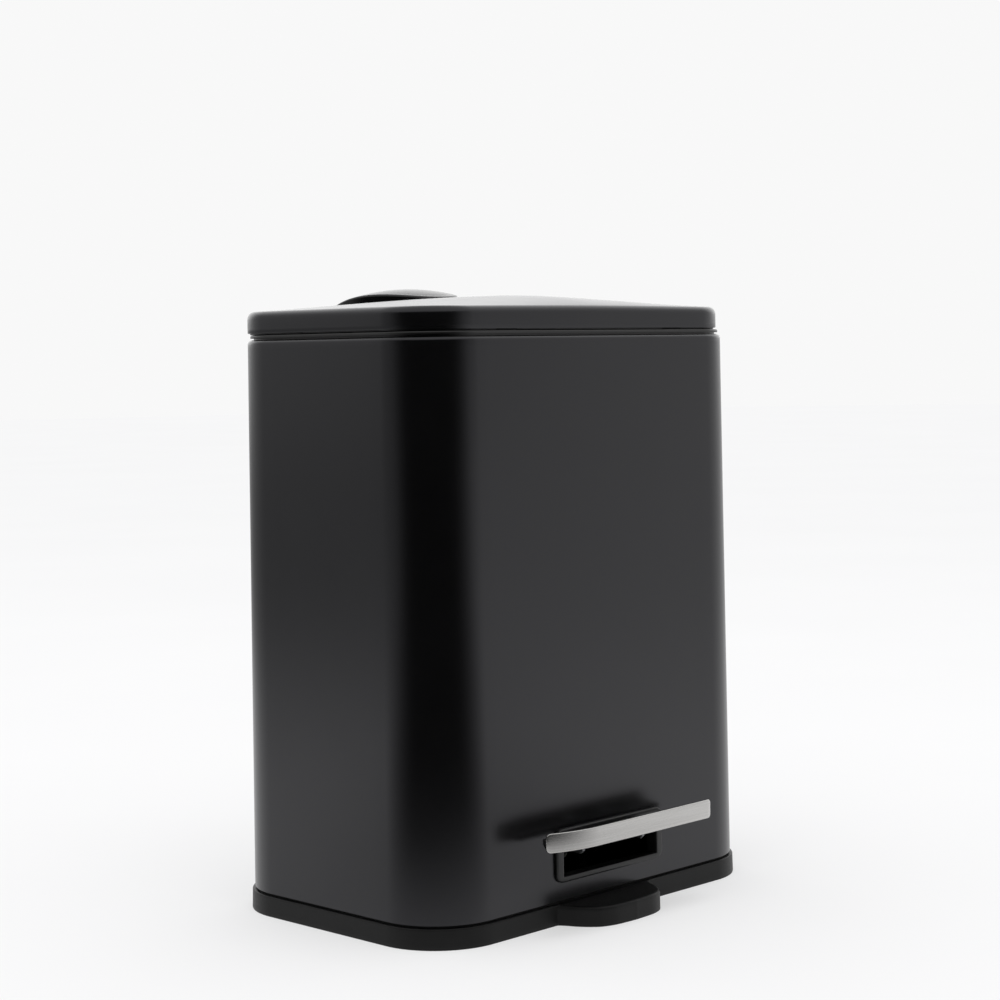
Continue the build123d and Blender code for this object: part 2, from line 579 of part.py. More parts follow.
with BuildPart() as lid_screws:
    with Locations(*[(x, y, liner_z0 - 2.2) for x, y in lid_screw_at]):
        Cylinder(3.0, 2.18, align=(Align.CENTER, Align.CENTER, Align.MIN))
        Cylinder(1.5, 13.0, align=(Align.CENTER, Align.CENTER, Align.MIN))
    fillet(lid_screws.edges().group_by(Axis.Z)[0], 1.0)
lid_screws.part.label = "lid_screws"
export_step(lid_screws.part, "parts/lid_screws.step")

# ================================================================== hinge bracket on the back
with BuildPart() as hinge_bracket:
    with BuildSketch(Plane.YZ):
        with BuildLine():
            Polyline((wall_y(226) + 0.02, 226), (wall_y(226) + 3, 226), (wall_y(256) + 3, 256), (wall_y(256) + 0.02, 256), close=True)
        make_face()
    extrude(amount=24, both=True)
    for x in (18.1, -18.1):
        with BuildSketch(Plane.YZ.offset(x)):
            with BuildLine():
                Polyline((wall_y(246) + 0.02, 246), (70.5, 246), (74.6, 257.62), (hinge_y, hinge_z), (69.4, 260.9), (67.75, 258.2), close=True)
            make_face()
            with Locations((hinge_y, hinge_z)):
                Circle(knuckle_r)
        extrude(amount=3.9, both=True)
    with Locations(Location((0, hinge_y, hinge_z), (0, 90, 0))):
        Cylinder(pin_r + 0.01, 80, mode=Mode.SUBTRACT)
    with Locations(*[Location((x, 69, 236), (90, 0, 0)) for x in (-17, 17)]):
        Cylinder(2.1, 14, mode=Mode.SUBTRACT)
hinge_bracket.part.label = "hinge_bracket"
export_step(hinge_bracket.part, "parts/hinge_bracket.step")

with BuildPart() as hinge_pin:
    with Locations(Location((-23, hinge_y, hinge_z), (0, 90, 0))):
        Cylinder(pin_r, 46.5, align=(Align.CENTER, Align.CENTER, Align.MIN))
    with Locations(Location((22.1, hinge_y, hinge_z), (0, 90, 0))):
        Cylinder(3.2, 1.4, align=(Align.CENTER, Align.CENTER, Align.MIN))
hinge_pin.part.label = "hinge_pin"
export_step(hinge_pin.part, "parts/hinge_pin.step")

screw_y = wall_y(233) + 3.02
with BuildPart() as hinge_screws:
    with Locations(*[Location((x, screw_y, 236), (-90, 0, 0)) for x in (-17, 17)]):
        Cylinder(3.8, 2.4, align=(Align.CENTER, Align.CENTER, Align.MIN))
    fillet(hinge_screws.edges().group_by(Axis.Y)[-1], 1.2)
    with Locations(*[Location((x, screw_y, 236), (90, 0, 0)) for x in (-17, 17)]):
        Cylinder(2.0, 8.4, align=(Align.CENTER, Align.CENTER, Align.MIN))
hinge_screws.part.label = "hinge_screws"
export_step(hinge_screws.part, "parts/hinge_screws.step")

nut_y = wall_y(240) - sheet - 0.03
with BuildPart() as hinge_nuts:
    for x in (-17, 17):
        with BuildSketch(Plane(origin=(x, nut_y, 236), x_dir=(1, 0, 0), z_dir=(0, -1, 0))):
            RegularPolygon(3.5, 6, major_radius=False)
            Circle(2.01, mode=Mode.SUBTRACT)
        extrude(amount=3.2)
hinge_nuts.part.label = "hinge_nuts"
export_step(hinge_nuts.part, "parts/hinge_nuts.step")

print("rod travel %.3f mm, lever swing %.4f rad, lever per lid %.6f" % (rod_travel, swing, swing / lid_open))
print("nose", round(nose_y, 3), round(nose_z, 3), "rod foot bottom", round(foot_bottom, 3))
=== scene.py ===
"""Looks of a small satin black pedal bin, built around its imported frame. Lengths below are millimetres."""
import bisect
from math import acos, atan2, cos, pi, radians, sin, sqrt, tan

import bmesh
import bpy
from mathutils import Matrix, Vector


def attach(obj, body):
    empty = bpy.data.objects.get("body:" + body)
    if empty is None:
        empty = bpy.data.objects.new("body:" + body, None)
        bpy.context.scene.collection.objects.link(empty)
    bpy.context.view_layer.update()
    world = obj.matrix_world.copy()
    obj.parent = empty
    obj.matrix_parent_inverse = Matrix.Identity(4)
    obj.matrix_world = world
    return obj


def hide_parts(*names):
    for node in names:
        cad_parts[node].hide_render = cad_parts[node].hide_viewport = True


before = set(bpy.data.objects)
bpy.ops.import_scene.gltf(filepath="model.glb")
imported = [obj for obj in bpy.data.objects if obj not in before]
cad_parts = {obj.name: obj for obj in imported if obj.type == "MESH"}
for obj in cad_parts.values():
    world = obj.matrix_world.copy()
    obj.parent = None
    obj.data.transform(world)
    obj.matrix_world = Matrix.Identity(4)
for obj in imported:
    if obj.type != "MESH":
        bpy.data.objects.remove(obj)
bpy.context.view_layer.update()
MM = 0.001
scene = bpy.context.scene


# ============================================================ small helpers
def smooth01(t):
    t = min(1.0, max(0.0, t))
    return t * t * (3 - 2 * t)


def lerp(a, b, t):
    return a + (b - a) * t


class Curve1D:
    """Monotone cubic through points, x ascending."""

    def __init__(self, pts):
        self.x = [p[0] for p in pts]
        self.y = [p[1] for p in pts]
        n = len(pts)
        h = [self.x[i + 1] - self.x[i] for i in range(n - 1)]
        s = [(self.y[i + 1] - self.y[i]) / h[i] for i in range(n - 1)]
        m = [s[0]] + [0.0] * (n - 2) + [s[-1]]
        for i in range(1, n - 1):
            if s[i - 1] * s[i] > 0:
                w1, w2 = 2 * h[i] + h[i - 1], h[i] + 2 * h[i - 1]
                m[i] = (w1 + w2) / (w1 / s[i - 1] + w2 / s[i])
        self.m, self.h = m, h

    def __call__(self, x):
        i = min(max(bisect.bisect_right(self.x, x) - 1, 0), len(self.x) - 2)
        h = self.h[i]
        t = min(1.0, max(0.0, (x - self.x[i]) / h))
        t2, t3 = t * t, t * t * t
        return ((2 * t3 - 3 * t2 + 1) * self.y[i] + (t3 - 2 * t2 + t) * h * self.m[i]
                + (3 * t2 - 2 * t3) * self.y[i + 1] + (t3 - t2) * h * self.m[i + 1])


def rounded(hw, hl, r, n, front=(), right=(), back=(), left=(), cx=0.0, cy=0.0):
    """Rounded rectangle seen from above, counter-clockwise, with extra stations on its straights."""
    pts = [(x, -hl) for x in front]

    def corner(x, y, a0):
        for i in range(n + 1):
            a = a0 + pi / 2 * i / n
            pts.append((x + r * cos(a), y + r * sin(a)))
    corner(hw - r, -hl + r, -pi / 2)
    pts.extend((hw, y) for y in right)
    corner(hw - r, hl - r, 0.0)
    pts.extend((x, hl) for x in back)
    corner(-hw + r, hl - r, pi / 2)
    pts.extend((-hw, y) for y in left)
    corner(-hw + r, -hl + r, pi)
    return [(x + cx, y + cy) for x, y in pts]


def rounded_share(hw, hl, r, n, k_long, k_short, cx=0.0, cy=0.0):
    """The same with evenly shared stations, so that rings of any proportion match."""
    a, b = hw - r, hl - r
    fl = [lerp(-a, a, (i + 1) / (k_long + 1)) for i in range(k_long)]
    fs = [lerp(-b, b, (i + 1) / (k_short + 1)) for i in range(k_short)]
    return rounded(hw, hl, r, n, fl, fs, fl[::-1], fs[::-1], cx, cy)


def loft(rings, wrap=False, skip=None, caps=(False, False)):
    n, m = len(rings[0]), len(rings)
    verts = [p for r in rings for p in r]
    faces = []
    for i in range(m if wrap else m - 1):
        a, b = i * n, ((i + 1) % m) * n
        for j in range(n):
            if skip and skip(i, j):
                continue
            k = (j + 1) % n
            faces.append((a + j, a + k, b + k, b + j))
    if caps[0]:
        faces.append(tuple(range(n))[::-1])
    if caps[1]:
        faces.append(tuple((m - 1) * n + j for j in range(n)))
    return verts, faces


def to_bm(verts, faces):
    bm = bmesh.new()
    vs = [bm.verts.new(v) for v in verts]
    for f in faces:
        ids = []
        for i in f:
            if i not in ids:
                ids.append(i)
        if len(ids) > 2:
            try:
                bm.faces.new([vs[i] for i in ids])
            except ValueError:
                pass
    return bm


def place(name, bm, material, body, nodes, angle=35.0, merge=1e-4, normals=True):
    """Makes an object of a bmesh in millimetres, and sets it on its body."""
    if merge:
        bmesh.ops.remove_doubles(bm, verts=bm.verts, dist=merge)
    bmesh.ops.dissolve_degenerate(bm, edges=bm.edges, dist=1e-5)
    if normals:
        bmesh.ops.recalc_face_normals(bm, faces=bm.faces)
    bmesh.ops.scale(bm, vec=(MM, MM, MM), verts=bm.verts)
    me = bpy.data.meshes.new(name)
    bm.to_mesh(me)
    bm.free()
    me.polygons.foreach_set("use_smooth", [True] * len(me.polygons))
    me.set_sharp_from_angle(angle=radians(angle))
    me.materials.append(material)
    ob = bpy.data.objects.new(name, me)
    scene.collection.objects.link(ob)
    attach(ob, body)
    if nodes:
        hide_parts(*nodes)
    return ob


def carve(ob, cutter, angle, own=False):
    """Takes a closed shape in millimetres out of a finished piece."""
    bmesh.ops.recalc_face_normals(cutter, faces=cutter.faces)
    bmesh.ops.scale(cutter, vec=(MM, MM, MM), verts=cutter.verts)
    shape = bpy.data.meshes.new("cutter")
    cutter.to_mesh(shape)
    cutter.free()
    tool = bpy.data.objects.new("cutter", shape)
    scene.collection.objects.link(tool)
    mod = ob.modifiers.new("carve", "BOOLEAN")
    mod.operation, mod.solver, mod.use_self, mod.object = "DIFFERENCE", "EXACT", own, tool
    bpy.context.view_layer.update()
    me = bpy.data.meshes.new_from_object(ob.evaluated_get(bpy.context.evaluated_depsgraph_get()))
    ob.modifiers.remove(mod)
    old, ob.data = ob.data, me
    bpy.data.meshes.remove(old)
    bpy.data.objects.remove(tool)
    bpy.data.meshes.remove(shape)
    me.polygons.foreach_set("use_smooth", [True] * len(me.polygons))
    me.set_sharp_from_angle(angle=radians(angle))
    return ob


def add_bm(bm, other):
    me = bpy.data.meshes.new("tmp")
    other.to_mesh(me)
    other.free()
    bm.from_mesh(me)
    bpy.data.meshes.remove(me)
    return bm


def bevel_sharp(bm, width, segs=2, angle=32.0, only=None):
    es = [e for e in bm.edges if e.is_manifold and e.calc_face_angle(0.0) > radians(angle) and (only is None or only(e))]
    if es:
        bmesh.ops.bevel(bm, geom=es, offset=width, offset_type="OFFSET", segments=segs, profile=0.5,
                        affect="EDGES", clamp_overlap=False)
    return bm


def from_node(node):
    """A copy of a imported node's mesh in millimetres, with its flat faces joined up."""
    bm = bmesh.new()
    bm.from_mesh(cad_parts[node].data)
    bmesh.ops.scale(bm, vec=(1 / MM, 1 / MM, 1 / MM), verts=bm.verts)
    bmesh.ops.remove_doubles(bm, verts=bm.verts, dist=1e-4)
    bmesh.ops.dissolve_limit(bm, angle_limit=radians(0.2), use_dissolve_boundaries=False, verts=bm.verts, edges=bm.edges)
    return bm


def revolve(profile, n, origin, axis):
    """Turns (radius, height) pairs about an axis; both ends are closed where the radius isn't 0."""
    axis = Vector(axis).normalized()
    q = axis.to_track_quat("Z", "Y")
    rings = [[tuple(Vector(origin) + q @ Vector((r * cos(2 * pi * i / n), r * sin(2 * pi * i / n), h))) for i in range(n)]
             for r, h in profile]
    return to_bm(*loft(rings, caps=(profile[0][0] > 1e-6, profile[-1][0] > 1e-6)))


def rounded_bar(profile_xy, z0, z1, edge, segs=3):
    """Extrudes a closed outline and rounds its upper and lower edges."""
    n = len(profile_xy)
    bm = to_bm([(x, y, z0) for x, y in profile_xy] + [(x, y, z1) for x, y in profile_xy],
               [tuple(range(n))[::-1], tuple(range(n, 2 * n))] + [(i, (i + 1) % n, n + (i + 1) % n, n + i) for i in range(n)])
    bmesh.ops.recalc_face_normals(bm, faces=bm.faces)
    flat = [e for e in bm.edges if abs(e.verts[0].co.z - e.verts[1].co.z) < 1e-6]
    bmesh.ops.bevel(bm, geom=flat, offset=edge, offset_type="OFFSET", segments=segs, profile=0.5, affect="EDGES", clamp_overlap=False)
    return bm


# ============================================================ materials
def nodes_of(name):
    m = bpy.data.materials.new(name)
    m.use_nodes = True
    nt = m.node_tree
    bsdf = next(n for n in nt.nodes if n.type == "BSDF_PRINCIPLED")
    return m, nt, bsdf


def add(nt, kind, **props):
    n = nt.nodes.new(kind)
    for k, v in props.items():
        setattr(n, k, v)
    return n


def coords(nt, scale=(1, 1, 1)):
    tc = add(nt, "ShaderNodeTexCoord")
    mp = add(nt, "ShaderNodeMapping")
    mp.inputs["Scale"].default_value = scale
    nt.links.new(tc.outputs["Object"], mp.inputs["Vector"])
    return mp.outputs["Vector"]


def noise(nt, vec, scale, detail=3.0, rough=0.55):
    n = add(nt, "ShaderNodeTexNoise")
    n.inputs["Scale"].default_value = scale
    n.inputs["Detail"].default_value = detail
    n.inputs["Roughness"].default_value = rough
    nt.links.new(vec, n.inputs["Vector"])
    return n.outputs["Fac"]


def ramp(nt, fac, lo, hi, a=0.3, b=0.7):
    """Maps a to lo and b to hi; numbers or colours."""
    if isinstance(lo, tuple):
        r = add(nt, "ShaderNodeValToRGB")
        r.color_ramp.elements[0].position, r.color_ramp.elements[1].position = a, b
        r.color_ramp.elements[0].color, r.color_ramp.elements[1].color = (*lo, 1), (*hi, 1)
        nt.links.new(fac, r.inputs["Fac"])
        return r.outputs["Color"]
    r = add(nt, "ShaderNodeMapRange")
    for k, v in (("From Min", a), ("From Max", b), ("To Min", lo), ("To Max", hi)):
        r.inputs[k].default_value = v
    nt.links.new(fac, r.inputs["Value"])
    return r.outputs["Result"]


def bump(nt, height, strength, distance, under=None):
    b = add(nt, "ShaderNodeBump")
    b.inputs["Strength"].default_value = strength
    b.inputs["Distance"].default_value = distance
    nt.links.new(height, b.inputs["Height"])
    if under is not None:
        nt.links.new(under, b.inputs["Normal"])
    return b.outputs["Normal"]


def satin_paint():
    """Baked satin black on sheet steel: very fine orange peel, a slight drift in gloss."""
    m, nt, s = nodes_of("satin_black_paint")
    v = coords(nt)
    nt.links.new(ramp(nt, noise(nt, v, 38, 4), (0.0017, 0.0017, 0.0018), (0.0024, 0.0024, 0.0025)), s.inputs["Base Color"])
    nt.links.new(ramp(nt, noise(nt, v, 21, 5), 0.23, 0.26), s.inputs["Roughness"])
    fine = bump(nt, noise(nt, v, 2600, 2), 0.05, 0.00002)
    nt.links.new(bump(nt, noise(nt, v, 420, 3), 0.05, 0.00006, fine), s.inputs["Normal"])
    s.inputs["IOR"].default_value = 1.5
    s.inputs["Specular Tint"].default_value = (0.945, 0.94, 1.0, 1)
    return m


def moulded(name, dark, light, r0, r1, grain=1900, depth=0.16, spec=0.5):
    """Moulded plastic with a spark-eroded grain."""
    m, nt, s = nodes_of(name)
    v = coords(nt)
    nt.links.new(ramp(nt, noise(nt, v, 55, 4), dark, light), s.inputs["Base Color"])
    nt.links.new(ramp(nt, noise(nt, v, 900, 3), r0, r1), s.inputs["Roughness"])
    vo = add(nt, "ShaderNodeTexVoronoi")
    vo.inputs["Scale"].default_value = grain
    nt.links.new(v, vo.inputs["Vector"])
    nt.links.new(bump(nt, vo.outputs["Distance"], depth, 0.00004), s.inputs["Normal"])
    s.inputs["IOR"].default_value = 1.49
    s.inputs["Specular IOR Level"].default_value = spec
    return m


def brushed():
    """Stainless strip, brushed along its length, so the lines run level."""
    m, nt, s = nodes_of("brushed_stainless")
    v = coords(nt, (55, 55, 5200))
    fine = noise(nt, v, 1.0, 4, 0.6)
    w = coords(nt, (18, 18, 1300))
    broad = noise(nt, w, 1.0, 3, 0.5)
    nt.links.new(ramp(nt, broad, (0.495, 0.487, 0.475), (0.55, 0.542, 0.53)), s.inputs["Base Color"])
    nt.links.new(ramp(nt, fine, 0.20, 0.30), s.inputs["Roughness"])
    nt.links.new(bump(nt, fine, 0.08, 0.00002), s.inputs["Normal"])
    s.inputs["Metallic"].default_value = 1.0
    s.inputs["Anisotropic"].default_value = 0.55
    t = add(nt, "ShaderNodeTangent", direction_type="UV_MAP", uv_map="along")
    nt.links.new(t.outputs["Tangent"], s.inputs["Tangent"])
    return m


def zinc(name, dark, light, r0, r1):
    """Zinc plate on pressed and turned steel: cloudy colour and gloss, faint tool marks."""
    m, nt, s = nodes_of(name)
    v = coords(nt)
    nt.links.new(ramp(nt, noise(nt, v, 130, 4), dark, light), s.inputs["Base Color"])
    nt.links.new(ramp(nt, noise(nt, v, 420, 4), r0, r1), s.inputs["Roughness"])
    nt.links.new(bump(nt, noise(nt, v, 1500, 3), 0.12, 0.00003), s.inputs["Normal"])
    s.inputs["Metallic"].default_value = 1.0
    return m


def wire():
    """Nickel-plated drawn wire."""
    m, nt, s = nodes_of("wire_steel")
    v = coords(nt)
    nt.links.new(ramp(nt, noise(nt, v, 210, 3), (0.53, 0.53, 0.535), (0.64, 0.635, 0.625)), s.inputs["Base Color"])
    nt.links.new(ramp(nt, noise(nt, v, 700, 3), 0.14, 0.25), s.inputs["Roughness"])
    nt.links.new(bump(nt, noise(nt, v, 1800, 2), 0.06, 0.00002), s.inputs["Normal"])
    s.inputs["Metallic"].default_value = 1.0
    return m


def rubber():
    m, nt, s = nodes_of("black_rubber")
    v = coords(nt)
    nt.links.new(ramp(nt, noise(nt, v, 160, 4), (0.011, 0.011, 0.011), (0.020, 0.019, 0.018)), s.inputs["Base Color"])
    nt.links.new(ramp(nt, noise(nt, v, 800, 3), 0.68, 0.86), s.inputs["Roughness"])
    nt.links.new(bump(nt, noise(nt, v, 2300, 3), 0.25, 0.00005), s.inputs["Normal"])
    return m


PAINT = satin_paint()
PLASTIC = moulded("black_plastic", (0.0028, 0.0028, 0.0029), (0.0042, 0.0041, 0.0041), 0.34, 0.42)
TRAY = moulded("black_plastic_tray", (0.0030, 0.0030, 0.0031), (0.0046, 0.0045, 0.0045), 0.42, 0.50, spec=0.22)
SMOOTH = moulded("black_plastic_smooth", (0.0030, 0.0030, 0.0031), (0.0044, 0.0044, 0.0045), 0.22, 0.27, grain=1500, depth=0.03)
BUCKET = moulded("bucket_plastic", (0.017, 0.0175, 0.0185), (0.024, 0.0245, 0.0255), 0.34, 0.44, grain=1300, depth=0.10)
NATURAL = moulded("natural_plastic", (0.64, 0.63, 0.58), (0.72, 0.71, 0.665), 0.36, 0.46, grain=1500, depth=0.08)
STEEL = brushed()
ZINC = zinc("zinc_steel", (0.30, 0.31, 0.325), (0.43, 0.435, 0.44), 0.27, 0.42)
# a darker copy of the zinc for the lever: its darker colour is painted shade for the lever deep in the pedal slot and
# dims its glints; its higher roughness is a real duller finish
SHADED_DULL_ZINC = zinc("zinc_steel_dull_shaded", (0.17, 0.176, 0.186), (0.25, 0.254, 0.26), 0.42, 0.54)
WIRE = wire()
RUBBER = rubber()

# ============================================================ body shell
body_w, body_l, body_r, body_top, taper = 216.0, 140.0, 31.5, 260.0, 2.5
sheet, mouth_in, rear_extra = 0.8, 5.0, 2.6
N = 26


def inset(z):
    return taper * z / body_top


FRONT = [-70, -60, -50, -42, -33.2, -25, -15, -5, 5, 15, 25, 33.2, 42, 50, 60, 70]
SIDE = [-30, -15, 0, 15, 30]
BACK = [70, 50, 36, 22, 10, 3, 0.62, 0.24, -0.24, -0.62, -3, -10, -22, -36, -50, -70]


def body_ring(d, z, groove=0.0):
    r = rounded(body_w / 2 - d, body_l / 2 - d, body_r - d, N, FRONT, SIDE, BACK, SIDE[::-1])
    if groove:
        r = [(x, y - groove) if abs(abs(x) - 0.24) < 1e-6 and y > 60 else (x, y) for x, y in r]
    return [(x, y, z) for x, y in r]


def mouth_ring(d, z, cut=0.0):
    k = taper + d
    r = rounded(body_w / 2 - k, body_l / 2 - k - rear_extra / 2, body_r - k, N, FRONT, SIDE, BACK, SIDE[::-1], cy=-rear_extra / 2)
    return [(x, y, z) for x, y in r]


slot_lo, slot_hi = 19.4, 41.3
rows = [14.0, slot_lo, 25.0, 30.35, 36.0, slot_hi, 48.0, 60.0, 80.0, 105.0, 130.0, 155.0, 180.0, 205.0, 225.0, 240.0, 250.0, 256.0]
rings, tags = [], []


def put(ring, tag):
    rings.append(ring)
    tags.append(tag)


put(body_ring(inset(10) + 0.25, 10.0), "o")
put(body_ring(inset(10) + 0.03, 10.3), "o")
for z in rows:
    put(body_ring(inset(z), z, 0.28 if z < 250 else 0.0), ("o", z))
k258 = inset(258)
for i in range(9):
    a = pi / 2 * i / 8
    put(body_ring(k258 + 2.0 - 2.0 * cos(a), 258 + 2.0 * sin(a)), "o")
put(mouth_ring(mouth_in - 0.25, 260.0), "o")
put(mouth_ring(mouth_in - 0.03, 259.85), "o")
put(mouth_ring(mouth_in, 259.6), "o")
put(mouth_ring(mouth_in - 0.1, 259.2), "o")
for i in range(6, -1, -1):
    a = pi / 2 * i / 6
    put(body_ring(k258 + sheet + 1.2 - 1.2 * cos(a), 258 + 1.2 * sin(a)), "i")
for z in rows[::-1]:
    put(body_ring(inset(z) + sheet, z), ("i", z))
put(body_ring(inset(10) + sheet, 10.2), "i")
put(body_ring(inset(10) + sheet - 0.2, 10.0), "i")
j0, j1 = FRONT.index(-33.2), FRONT.index(33.2)
m_rings = len(rings)


def in_slot(i, j):
    a, b = tags[i], tags[(i + 1) % m_rings]
    if not (isinstance(a, tuple) and isinstance(b, tuple) and a[0] == b[0]):
        return False
    lo, hi = min(a[1], b[1]), max(a[1], b[1])
    return j0 <= j < j1 and lo >= slot_lo - 1e-6 and hi <= slot_hi + 1e-6


bm = to_bm(*loft(rings, wrap=True, skip=in_slot))
edge_loop = [e for e in bm.edges if e.is_boundary]
bmesh.ops.bridge_loops(bm, edges=edge_loop)
skin = place("body_shell_skin", bm, PAINT, "body", ["body_shell"], angle=30)
# notch in the top flange for the rod's upper guide
gap = [(-5.6, 57.0), (5.6, 57.0), (5.6, 66.6), (-5.6, 66.6)]
carve(skin, to_bm(*loft([[(x, y, z) for x, y in gap] for z in (256.0, 262.0)], caps=(True, True))), 30)

# ============================================================ base with its foot
rim_hw, rim_hl, rim_r = body_w / 2 + 1.3, body_l / 2 + 1.3, body_r + 1.3
foot_x, foot_h, foot_half = -5.0, 9.0, 31.8
half = [(31.8, -71.3), (30.6, -72.0), (29.2, -74.0), (26.8, -79.2), (23.6, -83.7), (19.2, -87.6), (11.0, -90.0), (0.0, -90.7)]
foot_curve = Curve1D([(-x, -y) for x, y in half])


def foot_y(x):
    """Front line of the base at x, as a depth in front of the middle."""
    t = abs(x - foot_x)
    return foot_curve(-t) if t < foot_half else 71.3


FOOT_X = [foot_x - foot_half + 2 * foot_half * i / 120 for i in range(121)]
B_FRONT = sorted([-72, -64, -56, -48] + FOOT_X + [34, 41, 48, 55, 62, 70])
B_SIDE = [-30, -15, 0, 15, 30]
B_BACK = [70, 50, 30, 15.2, 14.8, 0, -14.8, -15.2, -30, -50, -70]


def base_ring(rim, foot, lift=None):
    """rim = (inset, z) of the plain rim; foot = (inset, z) of the foot's own edge, or None for the rim's line."""
    out = []
    d, z = rim
    for x, y in rounded(rim_hw - d, rim_hl - d, rim_r - d, N, B_FRONT, B_SIDE, B_BACK, B_SIDE[::-1]):
        if y < -60 and abs(x - foot_x) < foot_half:
            e = foot_y(x) - 71.3
            w = smooth01(e / 1.6)
            if foot is not None:
                fd, fz = foot
                g = (foot_y(x + 0.05) - foot_y(x - 0.05)) / 0.1
                nl = sqrt(1 + g * g)
                yy = -(foot_y(x) - fd * nl)
                out.append((x, min(y, lerp(y, yy, w)), lerp(z, fz, w)))
            else:
                out.append((x, y, max(z, foot_h) if w > 0.02 and lift is None else z))
        else:
            out.append((x, y, z))
    return out


rings = [
    base_ring((0.45, 0.0), (0.45, 0.0)),
    base_ring((0.12, 0.13), (0.12, 0.13)),
    base_ring((0.0, 0.45), (0.0, 0.45)),
    base_ring((0.06, 2.4), (0.02, 2.4)),
    base_ring((0.12, 4.6), (0.04, 4.6)),
    base_ring((0.18, 6.8), (0.06, 6.6)),
    base_ring((0.20, 7.6), (0.08, 7.55)),
    base_ring((0.205, 7.85), (0.18, 8.05)),
    base_ring((0.21, 8.05), (0.42, 8.5)),
    base_ring((0.215, 8.25), (0.80, 8.82)),
    base_ring((0.22, 8.4), (1.25, 8.97)),
    base_ring((0.225, 8.5), (1.75, 9.0)),
    base_ring((0.23, 8.6), None),
    base_ring((0.27, 8.82), None),
    base_ring((0.41, 9.03), None),
    base_ring((0.61, 9.15), None),
    base_ring((0.84, 9.2), None),
]


def upstand(d, z):
    k = inset(10) + d
    out = []
    for x, y in rounded(body_w / 2 - k, body_l / 2 - k, body_r - k, N, B_FRONT, B_SIDE, B_BACK, B_SIDE[::-1]):
        if y > 60 and abs(x) < 15.0:
            z_top = 9.25  # gap for the rod's foot
        else:
            z_top = 17.5 if y < -60 and abs(x) < 37.0 else z
        out.append((x, y, min(z, z_top)))
    return out


rings += [upstand(1.1, 9.2), upstand(1.1, 19.6), upstand(1.5, 20.0), upstand(2.7, 20.0), upstand(3.1, 19.6), upstand(3.1, 3.3), upstand(3.9, 2.5)]
bm = to_bm(*loft(rings, caps=(False, True)))
# underside with the four pad pockets
pad_at = [(84, 46), (-84, 46), (84, -46), (-84, -46)]
under = [e for e in bm.edges if e.is_boundary]
loops = list(under)
for px, py in pad_at:
    low = [bm.verts.new((px + 8 * cos(2 * pi * i / 48), py + 8 * sin(2 * pi * i / 48), 0.0)) for i in range(48)]
    high = [bm.verts.new((v.co.x, v.co.y, 1.5)) for v in low]
    for i in range(48):
        k = (i + 1) % 48
        f = bm.faces.new((low[i], low[k], high[k], high[i]))
        loops.append(bm.edges.get((low[i], low[k])))
    bm.faces.new(high)
bmesh.ops.triangle_fill(bm, use_beauty=True, use_dissolve=False, edges=loops, normal=(0, 0, -1))


def post(x0, x1):
    """A post with a rounded top, bored for the axle."""
    outer = [(-30.0, 2.2), (-14.0, 2.2)]
    outer += [(-22 + 8 * cos(a), 17.0 + 8 * sin(a)) for a in [pi * i / 24 for i in range(25)]]
    n = len(outer)
    b = bmesh.new()
    ring = {}
    for x in (x0, x1):
        o = [b.verts.new((x, y, z)) for y, z in outer]
        h = [b.verts.new((x, -22 + 2.52 * cos(2 * pi * i / 32), 18 + 2.52 * sin(2 * pi * i / 32))) for i in range(32)]
        eo = [b.edges.new((o[i], o[(i + 1) % n])) for i in range(n)]
        eh = [b.edges.new((h[i], h[(i + 1) % 32])) for i in range(32)]
        bmesh.ops.triangle_fill(b, use_beauty=True, edges=eo + eh, normal=(1, 0, 0))
        ring[x] = (o, h)
    for a, c, k in ((ring[x0][0], ring[x1][0], n), (ring[x0][1], ring[x1][1], 32)):
        for i in range(k):
            b.faces.new((a[i], a[(i + 1) % k], c[(i + 1) % k], c[i]))
    return b


for sx in (-1, 1):
    add_bm(bm, post(sx * 24.5, sx * 29.4))
    add_bm(bm, rounded_bar([(sx * 28.95, -23.5), (sx * 34.95, -23.5), (sx * 34.95, -20.5), (sx * 28.95, -20.5)], 2.2, 11.5, 0.3, 2))
place("base_moulding", bm, TRAY, "body", ["base"], angle=32)

# ============================================================ anti-slip pads, with rings that grip
bm = bmesh.new()
for px, py in pad_at:
    prof = [(0.0, 0.35), (1.4, 0.35), (1.7, 0.0), (2.5, 0.0), (2.8, 0.35), (3.6, 0.35), (3.9, 0.0), (4.7, 0.0), (5.0, 0.35),
            (5.8, 0.35), (6.1, 0.0), (7.6, 0.0), (7.86, 0.1), (7.95, 0.35), (7.95, 1.48), (0.0, 1.48)]
    add_bm(bm, revolve(prof, 56, (px, py, 0), (0, 0, 1)))
place("antislip_pads_ringed", bm, RUBBER, "body", ["antislip_pads"], angle=30)

# ============================================================ bezel of the pedal slot
slot_z = 30.35
lean = atan2(taper, body_top)
f_org = Vector((0, -(body_l / 2 - inset(slot_z)), slot_z))
f_u, f_v, f_w = Vector((1, 0, 0)), Vector((0, sin(lean), cos(lean))), Vector((0, -cos(lean), sin(lean)))


def bezel_ring(hw, hh, r, w):
    return [tuple(f_org + f_u * a + f_v * b + f_w * w) for a, b in rounded_share(hw, hh, r, 10, 14, 5)]


